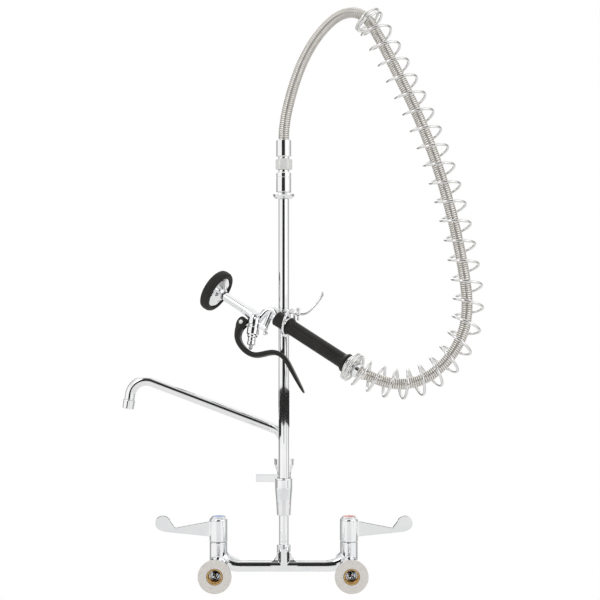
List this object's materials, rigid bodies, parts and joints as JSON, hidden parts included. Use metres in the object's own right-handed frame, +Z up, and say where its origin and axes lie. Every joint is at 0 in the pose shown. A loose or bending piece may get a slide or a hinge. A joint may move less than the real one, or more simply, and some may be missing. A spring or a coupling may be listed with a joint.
{
  "type": "pre rinse faucet",
  "caption": "Wall-mounted bridge mixer tap with wrist levers, a swing spout, a tall riser and a sprung hose ending in a trigger spray valve hung on a hook.",
  "frame": {"origin": "midway between the two inlet axes, on the wall plane where the washers meet the wall", "axes": "+Z up, +Y into the wall, -Y towards the user, +X the cold side and -X the hot side"},
  "size_m": [0.5582, 0.185, 0.8865],
  "materials": {
    "chrome": "polished chrome plate on brass",
    "bright_wire": "bright drawn spring wire",
    "hose_steel": "strip-wound stainless steel, finely ridged",
    "stainless_steel": "plain turned stainless steel",
    "brass": "bare machined brass",
    "black_moulding": "black moulding with a soft sheen",
    "black_rubber": "matt black rubber",
    "grey_washer": "pale warm grey fibre",
    "cold_blue": "blue insert",
    "hot_red": "red insert"
  },
  "bodies": {
    "root": {"bonnet_nut": "chrome", "bridge_body": "chrome", "bumper_ring": "black_rubber", "cartridge_cold": "brass", "cartridge_hot": "brass", "face_screw": "stainless_steel", "flow_screw": "chrome", "front_collar": "black_moulding", "handle_grip": "black_moulding", "handle_nut": "chrome", "handle_tube": "chrome", "hang_ring": "chrome", "head_tube": "chrome", "hook_clamp": "chrome", "hook_finger": "chrome", "hook_screw": "chrome", "hose": "hose_steel", "hose_adaptor": "chrome", "hose_end_ferrule": "chrome", "hose_spring": "bright_wire", "hose_top_ferrule": "chrome", "hose_union_nut": "chrome", "inlet_bush_cold": "brass", "inlet_bush_hot": "brass", "pivot_screw": "stainless_steel", "return_spring": "bright_wire", "riser_pipe": "chrome", "riser_seal": "black_rubber", "spout_nut": "chrome", "spout_valve_gland": "brass", "spray_body": "chrome", "spray_dish": "chrome", "spray_face": "stainless_steel", "spring_seat": "chrome", "stem_grub_screw": "stainless_steel", "stem_tube": "chrome", "tee_body": "chrome", "wall_flange_cold": "chrome", "wall_flange_hot": "chrome", "wall_washer_cold": "grey_washer", "wall_washer_hot": "grey_washer"},
    "cold_lever": {"wrist_lever_cold": "chrome", "spindle_cold": "brass", "lever_screw_cold": "stainless_steel", "index_cap_cold": "cold_blue"},
    "hot_lever": {"wrist_lever_hot": "chrome", "spindle_hot": "brass", "lever_screw_hot": "stainless_steel", "index_cap_hot": "hot_red"},
    "spout": {"spout_tube": "chrome", "spout_collar": "brass", "spout_nozzle": "chrome", "nozzle_strainer": "stainless_steel"},
    "spout_valve": {"spout_valve_lever": "chrome", "spout_valve_spindle": "brass"},
    "trigger": {"trigger_lever": "black_moulding"},
    "plunger": {"plunger_stem": "stainless_steel", "valve_washer": "black_rubber"}
  },
  "joints": [
    {"name": "cold_lever_turn", "type": "hinge", "parent": "root", "child": "cold_lever", "pos_m": [0.1015, -0.108, 0], "axis": [0, 0, 1], "range_deg": [-90, 0]},
    {"name": "hot_lever_turn", "type": "hinge", "parent": "root", "child": "hot_lever", "pos_m": [-0.1015, -0.108, 0], "axis": [0, 0, 1], "range_deg": [0, 90]},
    {"name": "spout_swivel", "type": "hinge", "parent": "root", "child": "spout", "pos_m": [0, -0.153, 0], "axis": [0, 0, 1], "range_deg": [-170, 20]},
    {"name": "spout_valve_turn", "type": "hinge", "parent": "root", "child": "spout_valve", "pos_m": [0, -0.153, 0.124], "axis": [0, 1, 0], "range_deg": [0, 90]},
    {"name": "trigger_squeeze", "type": "hinge", "parent": "root", "child": "trigger", "pos_m": [0.06394, -0.10204, 0.37508], "axis": [0.2883, 0.9397, 0.184], "range_deg": [0, 7.5], "stiffness_Nm_per_rad": 0.6, "springref_deg": -17.19},
    {"name": "plunger_travel", "type": "slide", "parent": "root", "child": "plunger", "axis": [-0.1451, -0.147, 0.9784], "range_m": [0, 0.0049], "deforming": ["return_spring"]}
  ],
  "couplings": [
    {"joint": "plunger_travel", "follows": "trigger_squeeze", "m_per_rad": 0.037}
  ]
}
